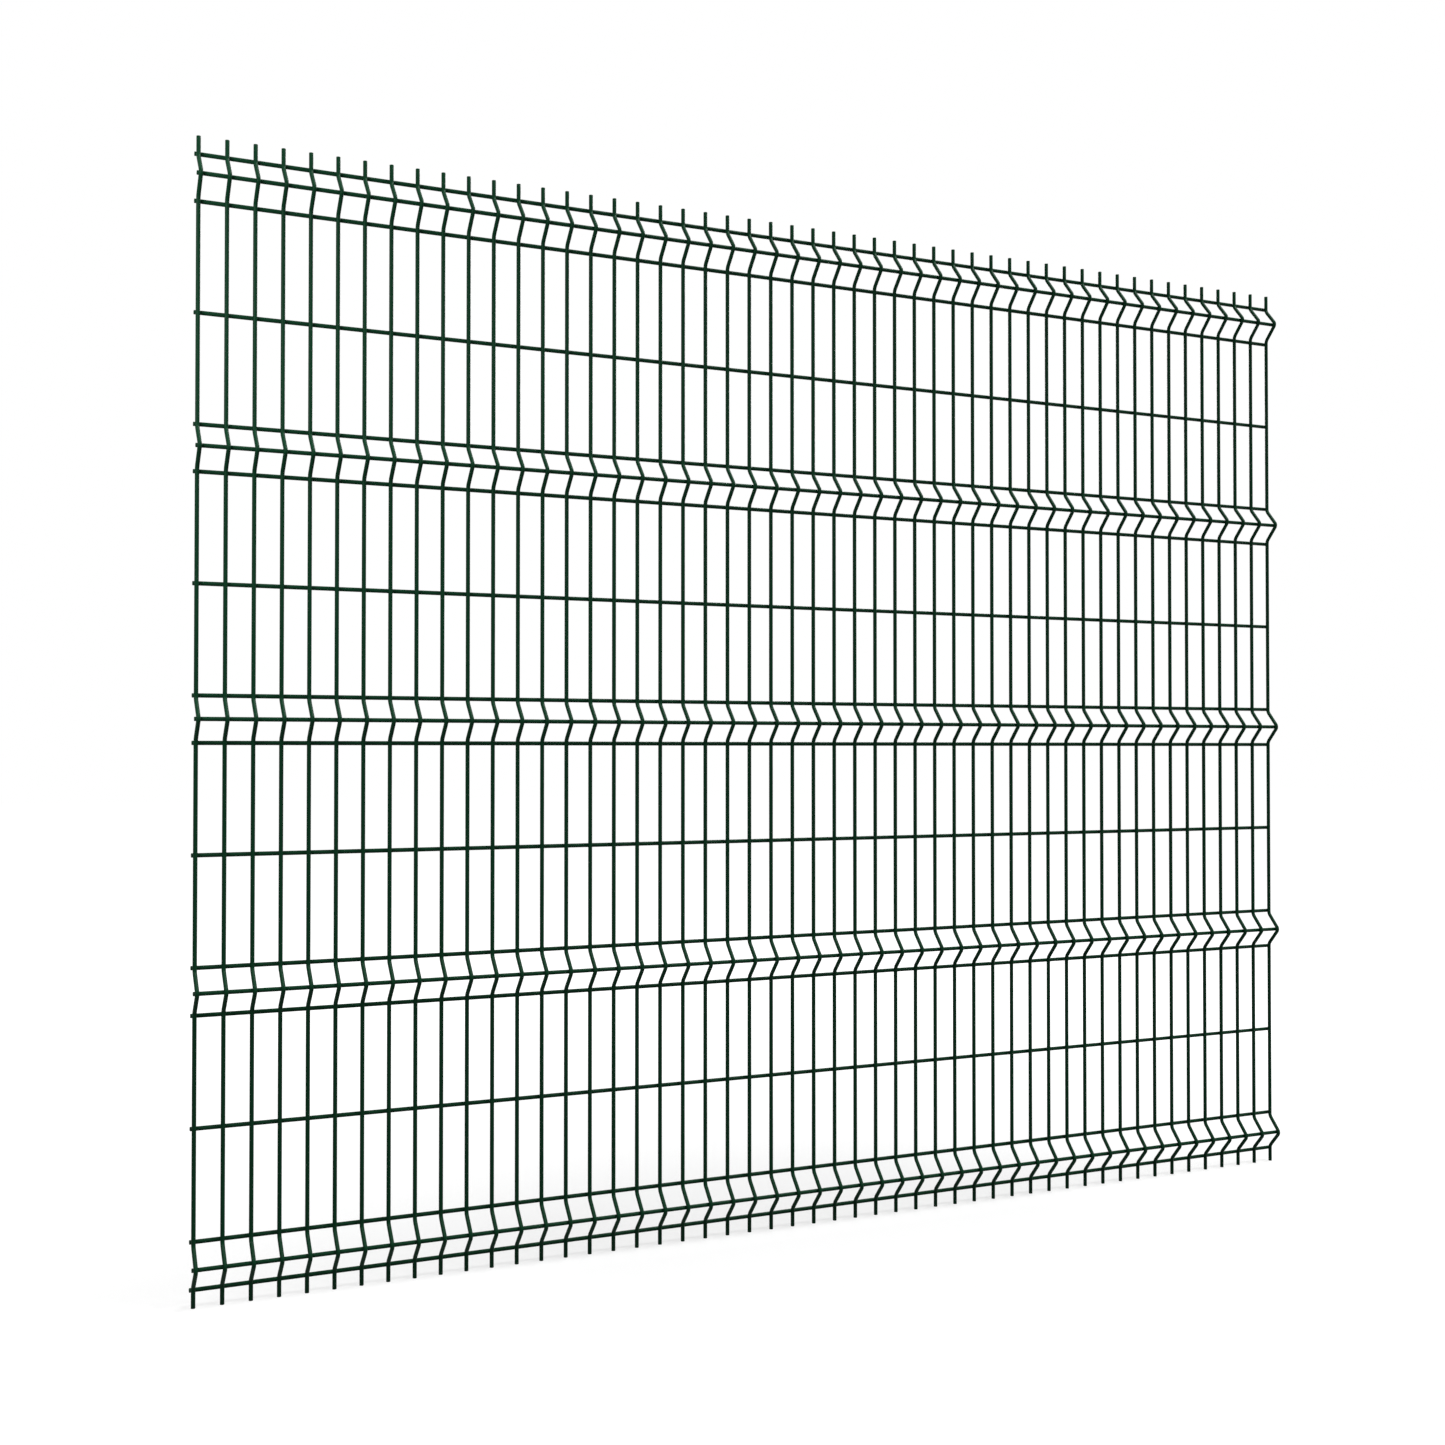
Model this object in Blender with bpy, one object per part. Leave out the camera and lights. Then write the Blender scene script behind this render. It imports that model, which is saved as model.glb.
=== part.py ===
"""Welded mesh fence panel with V-shaped stiffening folds.

Straight line wires run the full width, and bent uprights are welded across
their front. At regular heights every upright folds forward into a V. A line
wire lies inside the crest of each V, one more lies above it and one below, and
a middle wire halves each tall span between two folds.

Metres, +Z up, front towards -Y. The origin is on the lower cut end of the
centre upright.
"""

import math

import bmesh
import bpy
from mathutils import Matrix, Vector

# Wires
UPRIGHT_DIAMETER = 0.0080
LINE_WIRE_DIAMETER = 0.0080
WIRE_SIDES = 6

# Mesh
PANEL_WIDTH = 2.500
UPRIGHT_PITCH = 0.050
SPAN_MESH_HEIGHT = 0.200
UPRIGHT_END_PROJECTION = 0.030
LINE_WIRE_END_PROJECTION = 0.006

# Folds: the legs are measured on the centreline, to where they would meet sharply
FOLD_COUNT = 5
FOLD_DEPTH = 0.0310
LEG_HEIGHT = 0.0358
CREST_RADIUS = 0.0090
BEND_TO_LINE_WIRE = 0.0065

# Welds
WELD_CLEARANCE = 0.0003
NUGGET_WIDTH = 0.0024
NUGGET_BITE = 0.0008

# Coating
COAT_COLOUR = (0.010, 0.045, 0.024, 1.0)
COAT_ROUGHNESS = 0.42
COAT_METALLIC = 0.0
SMOOTH_UNDER_ANGLE = math.radians(70)

# The uprights share the width between the two outer ones evenly, as near to the pitch as it allows
GAP_COUNT = round(PANEL_WIDTH / UPRIGHT_PITCH)
UPRIGHT_SPACING = PANEL_WIDTH / GAP_COUNT

# Heights that follow from the mesh and the folds
FOLD_HALF_HEIGHT = LEG_HEIGHT + BEND_TO_LINE_WIRE
FOLD_SPACING = 2 * FOLD_HALF_HEIGHT + 2 * SPAN_MESH_HEIGHT
FIRST_FOLD_Z = UPRIGHT_END_PROJECTION + FOLD_HALF_HEIGHT
LAST_FOLD_Z = FIRST_FOLD_Z + (FOLD_COUNT - 1) * FOLD_SPACING
UPRIGHT_TOP_Z = LAST_FOLD_Z + FOLD_HALF_HEIGHT + UPRIGHT_END_PROJECTION

# The crest radius is drawn as one short upright stretch between the two legs
LEG_ANGLE = math.atan2(FOLD_DEPTH, LEG_HEIGHT)
CREST_HALF_LENGTH = CREST_RADIUS * math.tan(LEG_ANGLE / 2)
CREST_Y = CREST_HALF_LENGTH * math.tan(LEG_ANGLE) - FOLD_DEPTH

# Line wires touch the backs of the uprights
LINE_WIRE_Y = UPRIGHT_DIAMETER / 2 + WELD_CLEARANCE + LINE_WIRE_DIAMETER / 2
LINE_WIRE_HALF_LENGTH = PANEL_WIDTH / 2 + LINE_WIRE_END_PROJECTION

ALONG_PANEL = Vector((1.0, 0.0, 0.0))
UP = Vector((0.0, 0.0, 1.0))


def fold_centre_z(fold):
    """Height of a fold's crest, counted from the bottom."""
    return FIRST_FOLD_Z + fold * FOLD_SPACING


def upright_x(index):
    """Place of an upright along the panel, counted from the left."""
    return index * UPRIGHT_SPACING - PANEL_WIDTH / 2


def crest_wire_y():
    """Depth at which a line wire seats in the crest, clear of the short stretch and the legs."""
    flat_half_height = LINE_WIRE_DIAMETER / 2 * math.tan(math.pi / WIRE_SIDES)
    side_half_height = 2 * flat_half_height
    back_half_length = CREST_HALF_LENGTH - UPRIGHT_DIAMETER / 2 * math.tan(LEG_ANGLE / 2)

    def back_of_upright(height):
        onto_leg = max(0.0, height - back_half_length)
        clearance = WELD_CLEARANCE / math.cos(LEG_ANGLE) if onto_leg else WELD_CLEARANCE
        return UPRIGHT_DIAMETER / 2 + onto_leg * math.tan(LEG_ANGLE) + clearance

    front_edge_seat = back_of_upright(flat_half_height) + LINE_WIRE_DIAMETER / 2
    side_edge_seat = back_of_upright(side_half_height)
    return CREST_Y + max(front_edge_seat, side_edge_seat)


def upright_centreline(x):
    """The bent centreline of an upright, from its lower end to its upper end."""
    line = [Vector((x, 0.0, 0.0))]
    for fold in range(FOLD_COUNT):
        centre = fold_centre_z(fold)
        line.append(Vector((x, 0.0, centre - LEG_HEIGHT)))
        line.append(Vector((x, CREST_Y, centre - CREST_HALF_LENGTH)))
        line.append(Vector((x, CREST_Y, centre + CREST_HALF_LENGTH)))
        line.append(Vector((x, 0.0, centre + LEG_HEIGHT)))
    line.append(Vector((x, 0.0, UPRIGHT_TOP_Z)))
    return line


def mitre_offsets(line, across):
    """Offsets of one length unit in the bending plane that keep the wire's thickness round a bend."""
    normals = []
    for start, end in zip(line, line[1:]):
        normals.append((end - start).normalized().cross(across))
    offsets = [normals[0]]
    for before, after in zip(normals, normals[1:]):
        offsets.append((before + after) / (1.0 + before.dot(after)))
    offsets.append(normals[-1])
    return offsets


def add_wire(mesh, line, across, diameter):
    """Sweep a polygon with flats front and back along a centreline and cap both ends."""
    corner_radius = diameter / 2 / math.cos(math.pi / WIRE_SIDES)
    rings = []
    for point, offset in zip(line, mitre_offsets(line, across)):
        ring = []
        for side in range(WIRE_SIDES):
            angle = 2 * math.pi * side / WIRE_SIDES
            sideways = across * corner_radius * math.cos(angle)
            in_plane = offset * corner_radius * math.sin(angle)
            ring.append(mesh.verts.new(point + sideways + in_plane))
        rings.append(ring)
    for ring, next_ring in zip(rings, rings[1:]):
        for side in range(WIRE_SIDES):
            after = (side + 1) % WIRE_SIDES
            mesh.faces.new((ring[side], ring[after], next_ring[after], next_ring[side]))
    mesh.faces.new(rings[0])
    mesh.faces.new(rings[-1])


def add_upright(mesh, index):
    """One bent upright at its place along the panel."""
    add_wire(mesh, upright_centreline(upright_x(index)), ALONG_PANEL, UPRIGHT_DIAMETER)


def add_line_wire(mesh, y, z):
    """One straight wire over the full width of the panel."""
    left = Vector((-LINE_WIRE_HALF_LENGTH, y, z))
    right = Vector((LINE_WIRE_HALF_LENGTH, y, z))
    add_wire(mesh, [left, right], UP, LINE_WIRE_DIAMETER)


def add_crest_nugget(mesh, index, z):
    """The weld metal that joins an upright's crest to the line wire behind it."""
    front = CREST_Y + UPRIGHT_DIAMETER / 2 - NUGGET_BITE
    back = crest_wire_y() - LINE_WIRE_DIAMETER / 2 + NUGGET_BITE
    place = Matrix.Translation((upright_x(index), (front + back) / 2, z))
    size = Matrix.Diagonal((NUGGET_WIDTH, back - front, NUGGET_WIDTH, 1.0))
    bmesh.ops.create_cube(mesh, size=1.0, matrix=place @ size)


def coating(name):
    """Satin green coating, one material for each piece."""
    material = bpy.data.materials.new(name + "_coating")
    material.use_nodes = True
    shader = material.node_tree.nodes["Principled BSDF"]
    shader.inputs["Base Color"].default_value = COAT_COLOUR
    shader.inputs["Roughness"].default_value = COAT_ROUGHNESS
    shader.inputs["Metallic"].default_value = COAT_METALLIC
    return material


def place_object(name, mesh):
    """Turn a bmesh into a smooth-shaded object in the scene."""
    bmesh.ops.recalc_face_normals(mesh, faces=mesh.faces)
    data = bpy.data.meshes.new(name)
    mesh.to_mesh(data)
    mesh.free()
    data.shade_smooth()
    data.set_sharp_from_angle(angle=SMOOTH_UNDER_ANGLE)
    placed = bpy.data.objects.new(name, data)
    bpy.context.scene.collection.objects.link(placed)
    return placed


def make_upright(name, index):
    """An upright that is a piece of its own."""
    mesh = bmesh.new()
    add_upright(mesh, index)
    upright = place_object(name, mesh)
    upright.data.materials.append(coating(name))


def make_line_wire(name, z):
    """A line wire behind the straight stretches of all uprights."""
    mesh = bmesh.new()
    add_line_wire(mesh, LINE_WIRE_Y, z)
    wire = place_object(name, mesh)
    wire.data.materials.append(coating(name))


def make_crest_wire_with_uprights(fold, indices):
    """A crest wire and the uprights that are welded to it as one piece."""
    name = f"fold_{fold + 1}_crest_wire_with_uprights"
    z = fold_centre_z(fold)
    mesh = bmesh.new()
    add_line_wire(mesh, crest_wire_y(), z)
    for index in indices:
        add_upright(mesh, index)
    group = place_object(name, mesh)
    group.data.materials.append(coating(name))

    nugget_mesh = bmesh.new()
    for index in indices:
        add_crest_nugget(nugget_mesh, index, z)
    nuggets = place_object(f"fold_{fold + 1}_crest_nuggets", nugget_mesh)
    nuggets.hide_render = True
    nuggets.display_type = "WIRE"
    weld = group.modifiers.new("weld nuggets", "BOOLEAN")
    weld.operation = "UNION"
    weld.solver = "EXACT"
    weld.object = nuggets


def upright_groups(indices):
    """Share the uprights out among the crest wires, side by side and as evenly as they go."""
    groups = []
    start = 0
    for fold in range(FOLD_COUNT):
        stop = round(len(indices) * (fold + 1) / FOLD_COUNT)
        groups.append(indices[start:stop])
        start = stop
    return groups


def main():
    """Build the panel in an empty scene."""
    for old in list(bpy.data.objects):
        bpy.data.objects.remove(old, do_unlink=True)

    left_edge = 0
    right_edge = GAP_COUNT
    centre = GAP_COUNT // 2
    make_upright("left_edge_upright", left_edge)
    make_upright("centre_upright", centre)
    make_upright("right_edge_upright", right_edge)

    carried = [*range(left_edge + 1, centre), *range(centre + 1, right_edge)]
    for fold, indices in enumerate(upright_groups(carried)):
        make_crest_wire_with_uprights(fold, indices)
        make_line_wire(f"fold_{fold + 1}_lower_wire", fold_centre_z(fold) - FOLD_HALF_HEIGHT)
        make_line_wire(f"fold_{fold + 1}_upper_wire", fold_centre_z(fold) + FOLD_HALF_HEIGHT)

    for span in range(FOLD_COUNT - 1):
        middle = (fold_centre_z(span) + fold_centre_z(span + 1)) / 2
        make_line_wire(f"span_{span + 1}_middle_wire", middle)


main()
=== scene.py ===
# %% [markdown]
# # A welded mesh fence panel
#
# The panel is a grid of round steel wires: straight line wires lie across, and
# bent uprights are welded onto their front. The whole panel is galvanised and powder
# coated after welding, so one satin green skin runs over wires and welds alike.
#
# The frame already holds plain six-sided bars at the right places. This lesson
# puts round wires, true bends, weld beads and the coating in their place.

# %% Load the frame
import math

import bmesh
import bpy
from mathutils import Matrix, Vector


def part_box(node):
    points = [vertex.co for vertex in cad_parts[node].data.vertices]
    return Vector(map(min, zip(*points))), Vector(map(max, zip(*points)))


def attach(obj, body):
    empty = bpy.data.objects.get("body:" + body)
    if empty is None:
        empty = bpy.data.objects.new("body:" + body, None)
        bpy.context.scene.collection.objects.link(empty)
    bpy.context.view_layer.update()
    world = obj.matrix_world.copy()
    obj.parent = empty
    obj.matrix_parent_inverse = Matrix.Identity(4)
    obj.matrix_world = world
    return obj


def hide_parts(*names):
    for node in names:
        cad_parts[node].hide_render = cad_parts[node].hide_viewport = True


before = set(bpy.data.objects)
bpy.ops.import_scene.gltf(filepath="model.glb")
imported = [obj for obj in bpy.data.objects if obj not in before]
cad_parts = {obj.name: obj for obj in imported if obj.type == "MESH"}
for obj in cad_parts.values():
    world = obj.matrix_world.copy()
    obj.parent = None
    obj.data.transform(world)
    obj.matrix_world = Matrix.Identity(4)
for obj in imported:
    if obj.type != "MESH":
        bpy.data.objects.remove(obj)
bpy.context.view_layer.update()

# %% [markdown]
# ## The camera
#
# A picture of a flat grid holds its own camera: every crossing is a known point.
# The place, turn and lens below were solved from those crossings. They put the
# eye about 3 m in front of the panel, left of its middle and a metre up. There is
# no lens shift, so other views stay centred.

# %% Place the camera
CAMERA_PLACE = (-1.7268, -3.1388, 0.9883)
CAMERA_YAW = math.radians(25.773)
CAMERA_TILT = math.radians(0.890)
LENS_MM = 42.56
SENSOR_MM = 36.0

camera_data = bpy.data.cameras.new("panel_camera")
camera_data.lens = LENS_MM
camera_data.sensor_width = SENSOR_MM
camera = bpy.data.objects.new("panel_camera", camera_data)
camera.location = CAMERA_PLACE
camera.rotation_euler = (math.pi / 2 + CAMERA_TILT, 0.0, -CAMERA_YAW)
bpy.context.scene.collection.objects.link(camera)
bpy.context.scene.camera = camera
print("camera at", CAMERA_PLACE)

# %% [markdown]
# ## Read the wires' places from the frame
#
# Wire thickness, heights and depths are taken from the frame's own boxes, so the
# round wires land exactly on the bars that they stand for. Only what a box can't
# tell is written down: the counts of folds and gaps here, and further on how far the
# legs reach and how sharp the bends are.

# %% Measure the frame
FOLD_COUNT = 5
GAP_COUNT = 50

edge_low, edge_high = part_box("left_edge_upright")
wire_low, wire_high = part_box("fold_1_lower_wire")
wire_radius = (wire_high[1] - wire_low[1]) / 2
line_wire_y = (wire_low[1] + wire_high[1]) / 2
crest_y = edge_low[1] + wire_radius
left_x = (edge_low[0] + edge_high[0]) / 2
upright_spacing = -2 * left_x / GAP_COUNT
foot_z = edge_low[2]
top_z = edge_high[2]


def wire_height(node):
    """Height of a straight line wire's centre."""
    low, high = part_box(node)
    return (low[2] + high[2]) / 2


fold_heights = []
for fold in range(1, FOLD_COUNT + 1):
    lower = wire_height(f"fold_{fold}_lower_wire")
    upper = wire_height(f"fold_{fold}_upper_wire")
    fold_heights.append((lower + upper) / 2)
print("wire radius", wire_radius, "crest depth", crest_y, "fold heights", fold_heights)

# %% [markdown]
# ## The three bends of a fold
#
# A press folds the flat mesh, so each V has three bends: a soft one where it
# leaves the panel's plane, a tighter one round the crest, and a soft one back. A leg
# is measured to where the straight stretches would meet sharply, and each bend then
# takes its tangent length away from it at either end.

# %% Work out the bends
LEG_HEIGHT = 0.0358
FOLD_DEPTH = 0.0310
SOFT_BEND_RADIUS = 0.015
CREST_BEND_RADIUS = 0.009
SOFT_BEND_STEPS = 5
CREST_BEND_STEPS = 8

leg_angle = math.atan2(FOLD_DEPTH, LEG_HEIGHT)
soft_tangent = SOFT_BEND_RADIUS * math.tan(leg_angle / 2)
crest_tangent = CREST_BEND_RADIUS * math.tan(leg_angle)
leg_length = math.hypot(LEG_HEIGHT, FOLD_DEPTH) - soft_tangent - crest_tangent
leg_lean = round(math.degrees(leg_angle), 1)
print("legs lean", leg_lean, "degrees and are straight for", round(leg_length, 4), "metres")

# %% [markdown]
# ## Hand movements for bending
#
# A wire can be drawn as by hand from its cut end, a filled circle: it is extruded
# along a straight stretch and spun round a bend. Extrude and spin both leave the new
# end selected, so the movements follow on from one another, and the wire keeps its
# true round section all the way, which a mitred bar doesn't.

# %% Get the movements ready
def deselect_all():
    """Start from a clean selection, because operators act on all that is selected."""
    bpy.ops.object.select_all(action="DESELECT")


def extrude_along(step):
    """Draw the selected end out in a straight line."""
    bpy.ops.mesh.extrude_region_move(TRANSFORM_OT_translate={"value": step})


def selected_centre(piece):
    """Middle of the selected vertices, in the world."""
    shape = bmesh.from_edit_mesh(piece.data)
    chosen = [vert.co for vert in shape.verts if vert.select]
    return piece.matrix_world @ (sum(chosen, Vector()) / len(chosen))


def spin_bend(piece, to_centre, angle, steps):
    """Turn the selected end round a centre that lies beside it."""
    centre = selected_centre(piece) + Vector(to_centre)
    bpy.ops.mesh.spin(steps=steps, angle=-angle, center=centre, axis=(1.0, 0.0, 0.0))


def bend_fold(piece):
    """Take the wire's end out along one leg, round the crest and back along the other."""
    cosine, sine = math.cos(leg_angle), math.sin(leg_angle)
    spin_bend(piece, (0.0, -SOFT_BEND_RADIUS, 0.0), leg_angle, SOFT_BEND_STEPS)
    extrude_along((0.0, -sine * leg_length, cosine * leg_length))
    to_inside = (0.0, cosine * CREST_BEND_RADIUS, sine * CREST_BEND_RADIUS)
    spin_bend(piece, to_inside, -2 * leg_angle, CREST_BEND_STEPS)
    extrude_along((0.0, sine * leg_length, cosine * leg_length))
    to_front = (0.0, -cosine * SOFT_BEND_RADIUS, sine * SOFT_BEND_RADIUS)
    spin_bend(piece, to_front, leg_angle, SOFT_BEND_STEPS)


print("one fold takes", 2 * SOFT_BEND_STEPS + CREST_BEND_STEPS + 2, "steps")

# %% [markdown]
# ## Bend one upright
#
# The upright starts at its lower cut end and meets five folds on its way up. The
# panel's uprights are all alike, so only this one is bent.

# %% Bend the first upright
WIRE_FACETS = 16

deselect_all()
bpy.ops.mesh.primitive_circle_add(
    vertices=WIRE_FACETS, radius=wire_radius, fill_type="NGON", location=(left_x, 0.0, foot_z)
)
first_upright = bpy.context.object
bpy.ops.object.mode_set(mode="EDIT")
bpy.ops.mesh.select_all(action="SELECT")
reached = foot_z
for height in fold_heights:
    bend_start = height - LEG_HEIGHT - soft_tangent
    extrude_along((0.0, 0.0, bend_start - reached))
    bend_fold(first_upright)
    reached = height + LEG_HEIGHT + soft_tangent
    print("after fold at", round(height, 4), "end is at", selected_centre(first_upright))
extrude_along((0.0, 0.0, top_z - reached))

# %% [markdown]
# ## Soften the cuts
#
# The wires are sheared to length before they are coated, and the coating draws
# back from the sharp rim and rounds it. A small bevel on the two rims does this.
# The rims are picked by their place along the wire, as one would click them by hand.

# %% Round the cut ends
CUT_EDGE_RADIUS = 0.0006
CUT_EDGE_SEGMENTS = 2
SAME_PLACE = 1e-5
X_AXIS, Z_AXIS = 0, 2
SMOOTH_UNDER_ANGLE = math.radians(40)


def round_rims(piece, axis, places):
    """Bevel the edges that lie wholly at the given places along an axis."""
    bpy.ops.object.mode_set(mode="EDIT")
    bpy.ops.mesh.select_mode(type="EDGE")
    bpy.ops.mesh.select_all(action="DESELECT")
    shape = bmesh.from_edit_mesh(piece.data)
    for edge in shape.edges:
        ends = [(piece.matrix_world @ vert.co)[axis] for vert in edge.verts]
        for place in places:
            if max(abs(ends[0] - place), abs(ends[1] - place)) < SAME_PLACE:
                edge.select_set(True)
    bmesh.update_edit_mesh(piece.data)
    bpy.ops.mesh.bevel(offset=CUT_EDGE_RADIUS, segments=CUT_EDGE_SEGMENTS, affect="EDGES")
    bpy.ops.object.mode_set(mode="OBJECT")


def finish_piece(piece, name):
    """Name a piece, smooth it and put its place into its mesh."""
    deselect_all()
    piece.select_set(True)
    bpy.context.view_layer.objects.active = piece
    bpy.ops.object.transform_apply(location=True, rotation=True, scale=True)
    bpy.ops.object.shade_smooth_by_angle(angle=SMOOTH_UNDER_ANGLE)
    piece.name = name
    piece.data.name = name


round_rims(first_upright, Z_AXIS, (foot_z, top_z))
finish_piece(first_upright, "round_upright_01")
print("one upright has", len(first_upright.data.polygons), "faces")

# %% [markdown]
# ## Stand the other uprights beside it
#
# All uprights are bent in one press stroke, so they are all alike. The first one
# is copied at the mesh's pitch. Every copy keeps a mesh of its own, so each stays
# a wire that can be picked up by itself.

# %% Copy the upright along the panel
def copy_piece(piece, name, shift):
    """A copy with its own mesh, moved by a shift that ends up in the mesh."""
    deselect_all()
    piece.select_set(True)
    bpy.context.view_layer.objects.active = piece
    bpy.ops.object.duplicate(linked=False)
    copied = bpy.context.object
    bpy.ops.transform.translate(value=shift)
    bpy.ops.object.transform_apply(location=True, rotation=True, scale=True)
    copied.name = name
    copied.data.name = name
    return copied


uprights = [first_upright]
for index in range(1, GAP_COUNT + 1):
    along = (index * upright_spacing, 0.0, 0.0)
    uprights.append(copy_piece(first_upright, f"round_upright_{index + 1:02d}", along))
print("uprights:", len(uprights))

# %% [markdown]
# ## Draw one line wire
#
# A line wire is straight, so a cylinder is nearly enough. Its ends get the same
# rounded cut as the uprights.

# %% Lay the first line wire
wire_length = wire_high[0] - wire_low[0]
first_height = wire_height("fold_1_lower_wire")

deselect_all()
bpy.ops.mesh.primitive_cylinder_add(
    vertices=WIRE_FACETS,
    radius=wire_radius,
    depth=wire_length,
    location=(0.0, line_wire_y, first_height),
    rotation=(0.0, math.pi / 2, 0.0),
)
first_line_wire = bpy.context.object
round_rims(first_line_wire, X_AXIS, (-wire_length / 2, wire_length / 2))
finish_piece(first_line_wire, "round_fold_1_lower_wire")
print("line wire length", round(wire_length, 4))

# %% [markdown]
# ## Weld the crossings
#
# The wires are pressed together and a current melts them into each other where
# they touch. What shows is a small waist of metal between the two, with a hollow
# fillet that the coating fills. One such bead is drawn out of a circle: wide inside
# the upright, narrow where the wires touch, wide again inside the line wire. The
# wires are equally thick, so they touch halfway between their centres. An array sets
# the bead at every crossing of one wire. It is seen a thousand times and only a few
# millimetres wide, so it has few faces.

# %% Make a row of weld beads
BEAD_SIDES = 12
BEAD_FLARE_RADIUS = 0.0034
BEAD_WAIST_RADIUS = 0.0025
BEAD_HALF_DEPTH = 0.0018
BEAD_HALF_WAIST = 0.0004

contact_y = line_wire_y / 2
waist_scale = BEAD_WAIST_RADIUS / BEAD_FLARE_RADIUS


def scale_selected(piece, factor):
    """Widen or narrow the selected end about its own centre, across the bead's axis."""
    middle = selected_centre(piece)
    bpy.ops.transform.resize(value=(factor, 1.0, factor), center_override=middle)


deselect_all()
bpy.ops.mesh.primitive_circle_add(
    vertices=BEAD_SIDES,
    radius=BEAD_FLARE_RADIUS,
    fill_type="NGON",
    location=(left_x, contact_y - BEAD_HALF_DEPTH, first_height),
    rotation=(math.pi / 2, 0.0, 0.0),
)
beads = bpy.context.object
bpy.ops.object.mode_set(mode="EDIT")
bpy.ops.mesh.select_all(action="SELECT")
extrude_along((0.0, BEAD_HALF_DEPTH - BEAD_HALF_WAIST, 0.0))
scale_selected(beads, waist_scale)
extrude_along((0.0, 2 * BEAD_HALF_WAIST, 0.0))
extrude_along((0.0, BEAD_HALF_DEPTH - BEAD_HALF_WAIST, 0.0))
scale_selected(beads, 1 / waist_scale)
bpy.ops.mesh.select_all(action="SELECT")
bpy.ops.mesh.normals_make_consistent(inside=False)
bpy.ops.object.mode_set(mode="OBJECT")
finish_piece(beads, "weld_beads")
bead_faces = len(beads.data.polygons)

row = beads.modifiers.new("row", "ARRAY")
row.count = GAP_COUNT + 1
row.use_relative_offset = False
row.use_constant_offset = True
row.constant_offset_displace = (upright_spacing, 0.0, 0.0)
bpy.ops.object.modifier_apply(modifier=row.name)
print("a bead has", bead_faces, "faces, the row", len(beads.data.polygons))

# %% [markdown]
# ## Join the beads to the wire and repeat it
#
# A line wire and its weld beads go together, as they would be cut out of a real
# panel. The welded wire is then copied to every other height. Inside the crests it
# also moves forward by the depth of the fold.

# %% Place all line wires
deselect_all()
beads.select_set(True)
first_line_wire.select_set(True)
bpy.context.view_layer.objects.active = first_line_wire
bpy.ops.object.join()

line_wires = {"fold_1_lower_wire": first_line_wire}
for fold in range(1, FOLD_COUNT + 1):
    for part in ("lower", "upper"):
        node = f"fold_{fold}_{part}_wire"
        if node not in line_wires:
            rise = wire_height(node) - first_height
            line_wires[node] = copy_piece(first_line_wire, "round_" + node, (0.0, 0.0, rise))
    crest_node = f"fold_{fold}_crest_wire_with_uprights"
    crest_name = f"round_fold_{fold}_crest_wire"
    to_crest = (0.0, crest_y, fold_heights[fold - 1] - first_height)
    line_wires[crest_node] = copy_piece(first_line_wire, crest_name, to_crest)
for span in range(1, FOLD_COUNT):
    node = f"span_{span}_middle_wire"
    rise = wire_height(node) - first_height
    line_wires[node] = copy_piece(first_line_wire, "round_" + node, (0.0, 0.0, rise))
print("line wires:", len(line_wires))

# %% [markdown]
# ## The coating
#
# Dark green polyester powder, baked on to a satin skin. Three noise patterns make it
# a real surface: a drift over a hand's breadth or two of wire, a mottle as fine as
# the wires are thick, and the orange peel of a millimetre or two that all powder coats
# have. All of them read Object coordinates, so they run on from wire to wire as one
# coating does.
#
# The specular level is low on purpose. The wires stand in an all-white surround,
# and a stronger sheen would mirror it and turn the deep green grey.

# %% Start the coating
COAT_SPECULAR = 0.04
DRIFT_SCALE = 6.0
MOTTLE_SCALE = 140.0
ORANGE_PEEL_SCALE = 520.0

coating = bpy.data.materials.new("green_powder_coating")
coating.use_nodes = True
coating_tree = coating.node_tree
nodes = coating_tree.nodes
links = coating_tree.links
shader = nodes["Principled BSDF"]
shader.inputs["Metallic"].default_value = 0.0
shader.inputs["Specular IOR Level"].default_value = COAT_SPECULAR
place = nodes.new("ShaderNodeTexCoord")


def noise_of(scale, detail):
    """A noise pattern of a given fineness, in the object's own space."""
    noise = nodes.new("ShaderNodeTexNoise")
    noise.inputs["Scale"].default_value = scale
    noise.inputs["Detail"].default_value = detail
    links.new(place.outputs["Object"], noise.inputs["Vector"])
    return noise


drift = noise_of(DRIFT_SCALE, detail=2.0)
mottle = noise_of(MOTTLE_SCALE, detail=3.0)
peel = noise_of(ORANGE_PEEL_SCALE, detail=1.0)
print("patterns:", len(nodes), "nodes so far")

# %% [markdown]
# ## Tone
#
# Where the powder lies thin the green is a shade paler. Drift and mottle together
# blend between the two greens, half of each, so no stretch of wire is quite flat.

# %% Blend the two greens
COAT_GREEN = (0.0022, 0.0220, 0.0088, 1.0)
COAT_PALE = (0.0048, 0.0400, 0.0166, 1.0)
PATTERN_SHARE = 0.5


def math_node(tree, operation, first, second):
    """A Math node on two inputs, each a socket or a plain number."""
    node = tree.nodes.new("ShaderNodeMath")
    node.operation = operation
    for socket, value in zip(node.inputs, (first, second)):
        if isinstance(value, float):
            socket.default_value = value
        else:
            tree.links.new(value, socket)
    return node.outputs["Value"]


drift_share = math_node(coating_tree, "MULTIPLY", drift.outputs["Fac"], PATTERN_SHARE)
mottle_share = math_node(coating_tree, "MULTIPLY", mottle.outputs["Fac"], PATTERN_SHARE)
tone = nodes.new("ShaderNodeMix")
tone.data_type = "RGBA"
tone.inputs["A"].default_value = COAT_GREEN
tone.inputs["B"].default_value = COAT_PALE
blend = math_node(coating_tree, "ADD", drift_share, mottle_share)
links.new(blend, tone.inputs["Factor"])
links.new(tone.outputs["Result"], shader.inputs["Base Color"])
print("green from", COAT_GREEN[:3], "to", COAT_PALE[:3])

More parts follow.
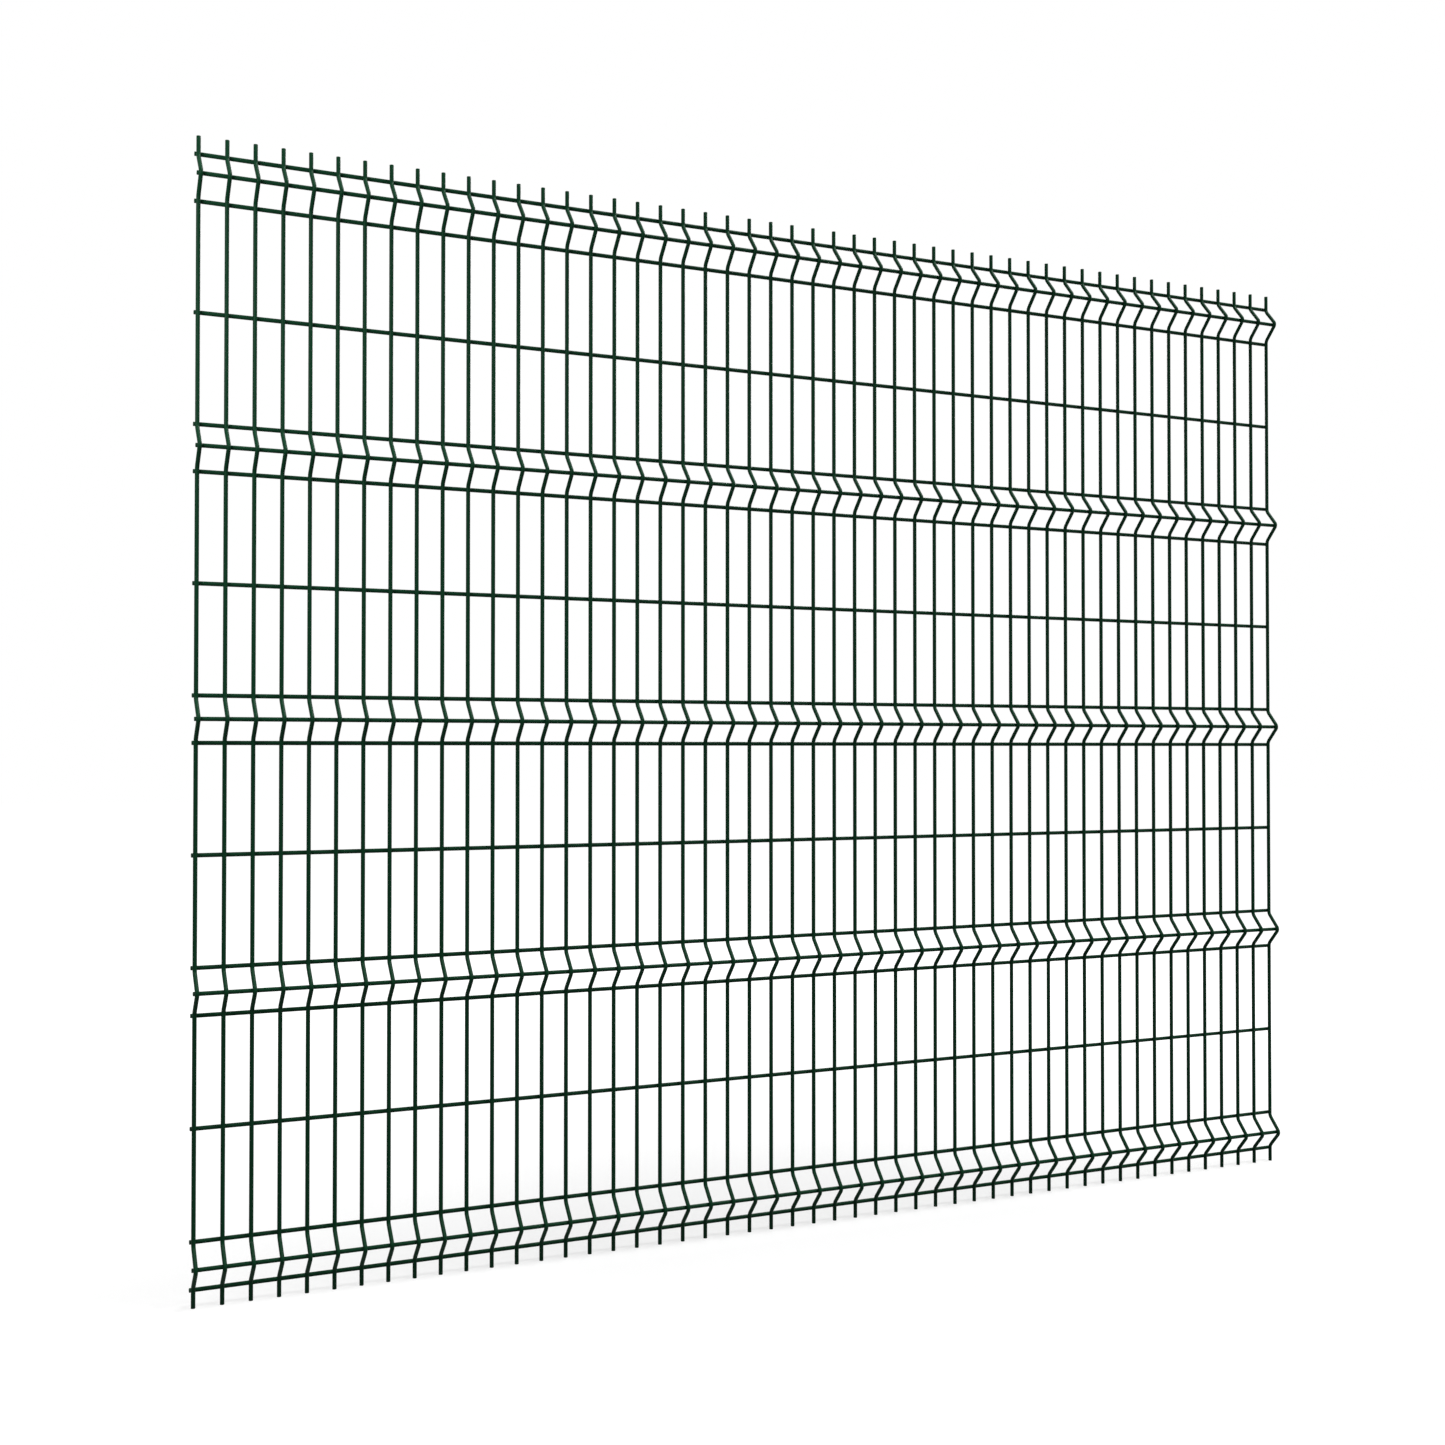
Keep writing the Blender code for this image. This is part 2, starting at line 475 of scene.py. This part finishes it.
# %% [markdown]
# ## Gloss and orange peel
#
# The mottle also moves the gloss a little. The peel is a bump of some hundredths of
# a millimetre, as deep as a real one, so it only shows close up.

# %% Give the coating its surface
COAT_ROUGHNESS_LOW = 0.34
COAT_ROUGHNESS_HIGH = 0.46
MOTTLE_LOW = 0.3
MOTTLE_HIGH = 0.7
ORANGE_PEEL_DEPTH = 0.000045

gloss = nodes.new("ShaderNodeMapRange")
gloss.inputs["From Min"].default_value = MOTTLE_LOW
gloss.inputs["From Max"].default_value = MOTTLE_HIGH
gloss.inputs["To Min"].default_value = COAT_ROUGHNESS_LOW
gloss.inputs["To Max"].default_value = COAT_ROUGHNESS_HIGH
links.new(mottle.outputs["Fac"], gloss.inputs["Value"])
links.new(gloss.outputs["Result"], shader.inputs["Roughness"])

bump = nodes.new("ShaderNodeBump")
bump.inputs["Distance"].default_value = ORANGE_PEEL_DEPTH
links.new(peel.outputs["Fac"], bump.inputs["Height"])
links.new(bump.outputs["Normal"], shader.inputs["Normal"])
print("coating has", len(nodes), "nodes")

# %% [markdown]
# ## Fasten the pieces to the frame
#
# The panel is one rigid body, so every piece rides on its root. Each round wire
# stands for its bar. The edge and centre uprights have bars of their own. The crest
# bars carry the other uprights in five even groups from the left, so such an upright
# stands for the group in whose share of the row its middle lies.

# %% Hand the pieces over
def hand_over(piece, *replaced):
    """Coat a piece, fasten it to the body and let it stand for its part of the frame."""
    piece.data.materials.clear()
    piece.data.materials.append(coating)
    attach(piece, "root")
    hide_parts(*replaced)


for node, piece in line_wires.items():
    hand_over(piece, node)

centre = GAP_COUNT // 2
single = {0: "left_edge_upright", centre: "centre_upright", GAP_COUNT: "right_edge_upright"}
carried = [index for index in range(GAP_COUNT + 1) if index not in single]
for index, piece in enumerate(uprights):
    if index in single:
        hand_over(piece, single[index])
    else:
        share_of_row = (carried.index(index) + 0.5) / len(carried)
        group = math.ceil(share_of_row * FOLD_COUNT)
        hand_over(piece, f"fold_{group}_crest_wire_with_uprights")
print("pieces:", len(line_wires) + len(uprights))

# %% [markdown]
# ## A surround that is only seen
#
# Such a picture is taken in front of a surround so bright that it comes out plain
# white. If that brightness lit the panel too, it would wash out every edge. So the
# surround shines only towards rays that see it themselves: the camera's rays, and
# those that the coating mirrors or that pass through something clear.

# %% Tell apart the rays that see the surround
def seen_directly(tree):
    """One for rays that see the stage itself: from the camera, in gloss or through glass."""
    path = tree.nodes.new("ShaderNodeLightPath")
    camera_or_gloss = math_node(
        tree, "MAXIMUM", path.outputs["Is Camera Ray"], path.outputs["Is Glossy Ray"]
    )
    return math_node(tree, "MAXIMUM", camera_or_gloss, path.outputs["Is Transmission Ray"])


print("rays are told apart by the Light Path node")

# %% [markdown]
# ## The floor
#
# The wire ends stand on a floor that looks pale by its glow. The glow is weaker near
# the panel: there the lamps make up the difference to white, and a shadow can still
# show. Its own colour is a middle grey, so it throws little light up at the wires.

# %% Lay the floor
FLOOR_SIZE = 60.0
FLOOR_COLOUR = (0.20, 0.20, 0.20, 1.0)
FLOOR_ROUGHNESS = 0.9
GLOW_NEAR = 0.70
GLOW_FAR = 1.0
NEAR_REACH = 0.5
FAR_REACH = 3.0

deselect_all()
bpy.ops.mesh.primitive_plane_add(size=FLOOR_SIZE, location=(0.0, 0.0, foot_z))
floor = bpy.context.object
floor.name = "studio_floor"

floor_material = bpy.data.materials.new("pale_floor")
floor_material.use_nodes = True
floor.data.materials.append(floor_material)
floor_tree = floor_material.node_tree
floor_shader = floor_tree.nodes["Principled BSDF"]
floor_shader.inputs["Base Color"].default_value = FLOOR_COLOUR
floor_shader.inputs["Roughness"].default_value = FLOOR_ROUGHNESS
floor_shader.inputs["Specular IOR Level"].default_value = 0.0
floor_shader.inputs["Emission Color"].default_value = (1.0, 1.0, 1.0, 1.0)

floor_place = floor_tree.nodes.new("ShaderNodeTexCoord")
reach = floor_tree.nodes.new("ShaderNodeVectorMath")
reach.operation = "LENGTH"
floor_tree.links.new(floor_place.outputs["Object"], reach.inputs[0])
fade = floor_tree.nodes.new("ShaderNodeMapRange")
fade.inputs["From Min"].default_value = NEAR_REACH
fade.inputs["From Max"].default_value = FAR_REACH
fade.inputs["To Min"].default_value = GLOW_NEAR
fade.inputs["To Max"].default_value = GLOW_FAR
floor_tree.links.new(reach.outputs["Value"], fade.inputs["Value"])
glow = math_node(floor_tree, "MULTIPLY", seen_directly(floor_tree), fade.outputs["Result"])
floor_tree.links.new(glow, floor_shader.inputs["Emission Strength"])
print("floor laid at height", foot_z)

# %% [markdown]
# ## The surround
#
# The world is the rest of the surround: plain white to see, and a dim fill light to
# everything that it shines on.

# %% Surround the panel
WORLD_SEEN = 1.0
WORLD_FILL = 0.03

world = bpy.data.worlds.new("studio")
bpy.context.scene.world = world
world.use_nodes = True
world_tree = world.node_tree
background = world_tree.nodes["Background"]
background.inputs["Color"].default_value = (1.0, 1.0, 1.0, 1.0)
brightness = world_tree.nodes.new("ShaderNodeMapRange")
brightness.inputs["To Min"].default_value = WORLD_FILL
brightness.inputs["To Max"].default_value = WORLD_SEEN
world_tree.links.new(seen_directly(world_tree), brightness.inputs["Value"])
world_tree.links.new(brightness.outputs["Result"], background.inputs["Strength"])
bpy.context.scene.view_settings.view_transform = "Standard"
print("world: seen", WORLD_SEEN, "fill", WORLD_FILL)

# %% [markdown]
# ## The lamps
#
# The folds read well because they catch the light from above: each upper leg is the
# palest stretch of its wire and each lower leg the darkest. So the largest softbox
# hangs high over the front of the panel. It hangs to the right, so the far wires show
# the eye more of their shaded flank and come out darker than the near ones. A small
# one by the left edge makes that side brighter still, strongest at its top. A third
# one stands behind, to keep the back from going black.

# %% Hang the lamps
def softbox(name, place, aim, size, power):
    """A large square lamp at a place, turned towards an aim."""
    data = bpy.data.lights.new(name, "AREA")
    data.size = size
    data.energy = power
    lamp = bpy.data.objects.new(name, data)
    lamp.location = place
    lamp.rotation_euler = (Vector(aim) - Vector(place)).to_track_quat("-Z", "Y").to_euler()
    bpy.context.scene.collection.objects.link(lamp)
    print(name, "at", place, "with", power, "watts")


middle = (0.0, 0.0, 1.0)
left_half = (-1.0, 0.0, 1.2)
softbox("overhead_softbox", place=(3.0, -2.0, 9.0), aim=middle, size=3.5, power=1180.0)
softbox("left_softbox", place=(-2.2, -1.0, 2.1), aim=left_half, size=0.8, power=28.0)
softbox("back_softbox", place=(2.5, 4.0, 3.5), aim=middle, size=2.5, power=145.0)
